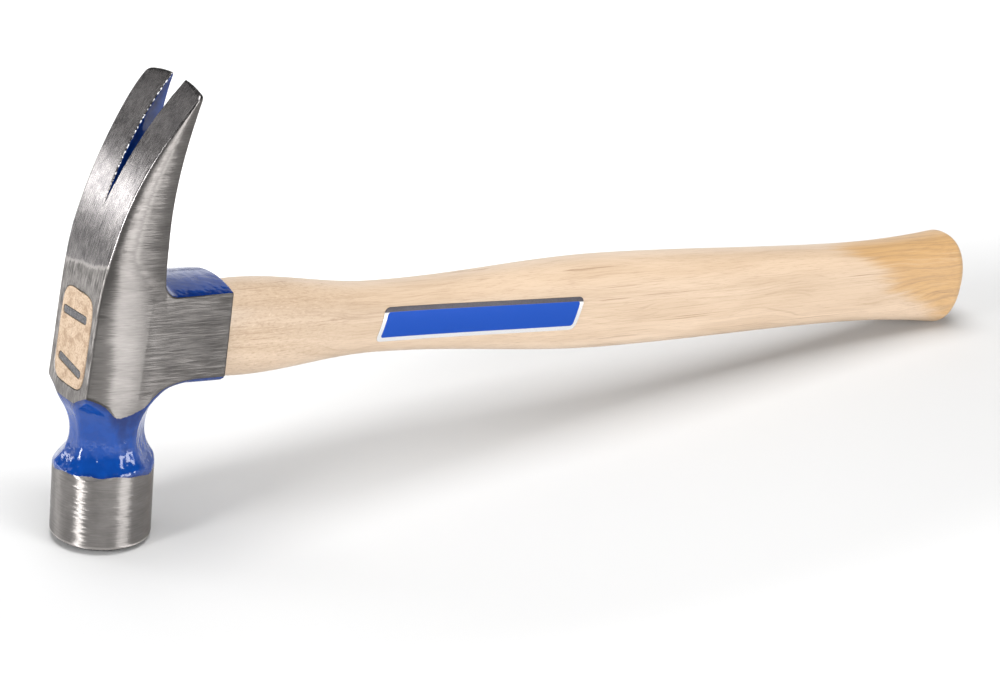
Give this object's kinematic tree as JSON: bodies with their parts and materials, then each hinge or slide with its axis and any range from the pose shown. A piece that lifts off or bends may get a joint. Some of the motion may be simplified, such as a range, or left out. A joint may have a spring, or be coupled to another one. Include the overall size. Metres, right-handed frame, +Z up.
{
  "type": "framing hammer",
  "caption": "Framing hammer with a forged steel rip head, straight split claws, an octagonal neck and a milled round face, wedged on a long curved hickory handle.",
  "frame": {"origin": "middle of the hammer's footprint, on the surface that it stands on", "axes": "+X along the handle from the head to the butt, +Y across the head, away from the label's side, +Z up, the way the claws point"},
  "size_m": [0.4088, 0.0346, 0.1609],
  "materials": {
    "head_steel": "ground and polished bare steel, with royal blue enamel on the neck, the collar and the claws' inner side",
    "hickory": "sanded pale hickory under a thin satin lacquer",
    "wedge_wood": "sawn end grain",
    "wedge_steel": "dark rough rolled steel",
    "label_foil": "thin foil with a bright silvery border round a plain blue panel"
  },
  "bodies": {
    "root": {"head": "head_steel", "handle": "hickory", "wood_wedge": "wedge_wood", "steel_wedge_upper": "wedge_steel", "steel_wedge_lower": "wedge_steel", "label": "label_foil"}
  },
  "joints": []
}
